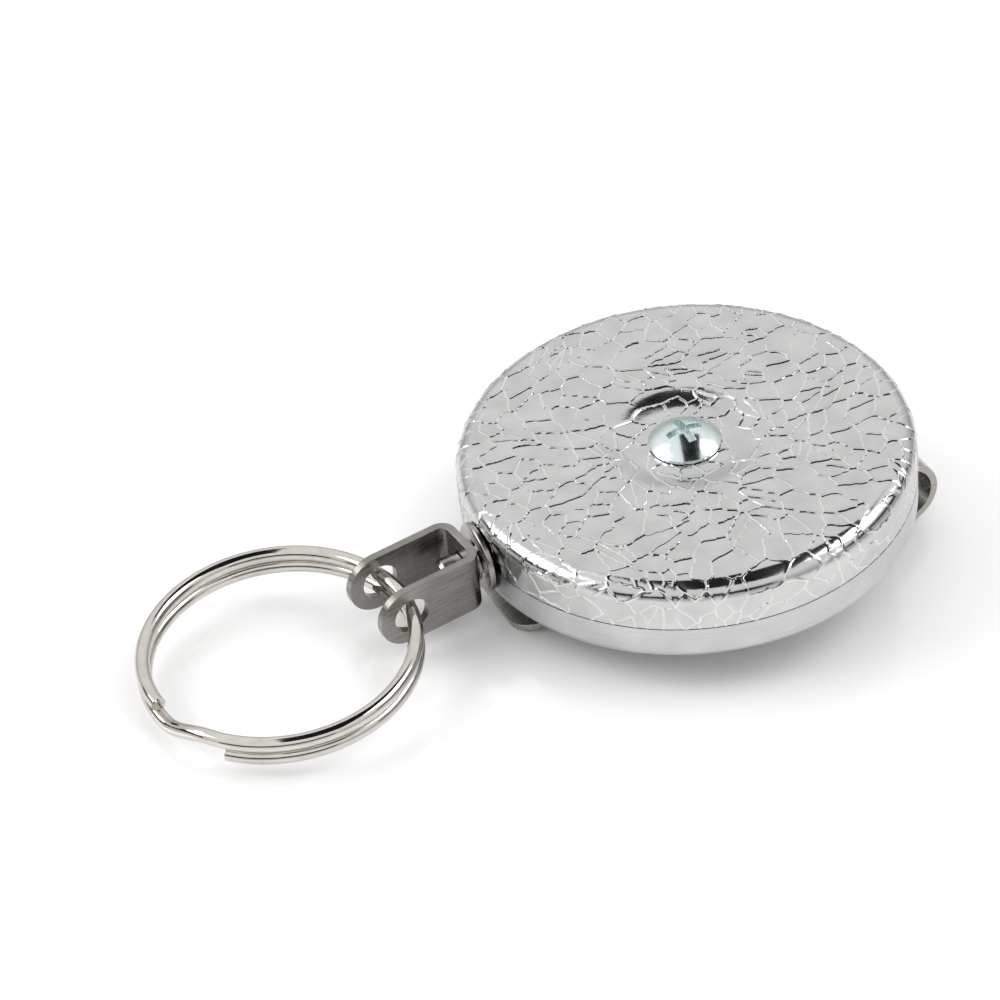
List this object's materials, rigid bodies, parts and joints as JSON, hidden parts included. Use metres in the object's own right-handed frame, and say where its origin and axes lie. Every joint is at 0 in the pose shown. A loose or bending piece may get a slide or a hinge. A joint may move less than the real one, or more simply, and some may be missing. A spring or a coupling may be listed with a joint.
{
  "type": "retractable badge reel",
  "caption": "Round retractable reel with an embossed cover, a sprung chain drum, a swivel clevis with a split ring and a steel belt clip.",
  "frame": {"origin": "where the case's axis meets the clip leg's face, which lies against the belt", "axes": "+Z along the case's axis towards the front cover; the chain is pulled out along -X; the belt clip's bend is at +X"},
  "size_m": [0.1046, 0.057, 0.0217],
  "materials": {
    "embossed_chrome": "bright plate over a pressed crackle texture",
    "satin_steel": "satin",
    "eyelet_steel": "polished",
    "turned_steel": "turned",
    "zinc_screw": "bright zinc with a blue-green tint",
    "nylon": "moulded",
    "clip_steel": "nickel plated",
    "chain_steel": "bright",
    "spring_steel": "blued",
    "clevis_steel": "fine brushed, dark",
    "ring_nickel": "polished nickel"
  },
  "bodies": {
    "case": {"front_cover": "embossed_chrome", "rear_case": "satin_steel", "exit_eyelet": "eyelet_steel", "centre_post": "turned_steel", "centre_screw": "zinc_screw", "lower_thrust_washer": "nylon", "upper_thrust_washer": "nylon", "belt_clip_base": "clip_steel", "clip_rivets": "turned_steel"},
    "drum": {"reel_drum": "nylon", "drum_cover": "satin_steel", "wound_chain": "chain_steel", "chain_anchor_pin": "turned_steel", "power_spring": "spring_steel"},
    "chain_end": {"chain_run": "chain_steel", "swivel_pin": "turned_steel", "swivel_washer": "turned_steel"},
    "clevis": {"clevis": "clevis_steel"},
    "ring": {"split_ring": "ring_nickel"},
    "clip_leaf": {"belt_clip_leaf": "clip_steel"}
  },
  "joints": [
    {"name": "chain_pull", "type": "slide", "parent": "case", "child": "chain_end", "axis": [-1, 0, 0], "range_m": [0, 0.01], "stiffness_N_per_m": 20, "springref_m": -0.1},
    {"name": "drum_spin", "type": "hinge", "parent": "case", "child": "drum", "pos_m": [0, 0, 0.006], "axis": [0, 0, 1], "range_deg": [0, 36], "deforming": ["power_spring"]},
    {"name": "clevis_swivel", "type": "hinge", "parent": "chain_end", "child": "clevis", "pos_m": [-0.0303, 0, 0.0055], "axis": [-0.993, -0.1184, 0], "continuous": true},
    {"name": "ring_swing", "type": "hinge", "parent": "clevis", "child": "ring", "pos_m": [-0.04063, -0.00123, 0.0055], "axis": [-0.1184, 0.9926, 0.0262], "range_deg": [-90, 90]},
    {"name": "belt_clip_flex", "type": "hinge", "parent": "case", "child": "clip_leaf", "pos_m": [0.031, 0, -0.0038], "axis": [0, -1, 0], "range_deg": [0, 7], "stiffness_Nm_per_rad": 1.5, "springref_deg": -2.86}
  ],
  "couplings": [
    {"joint": "drum_spin", "follows": "chain_pull", "rad_per_m": 61.919}
  ]
}
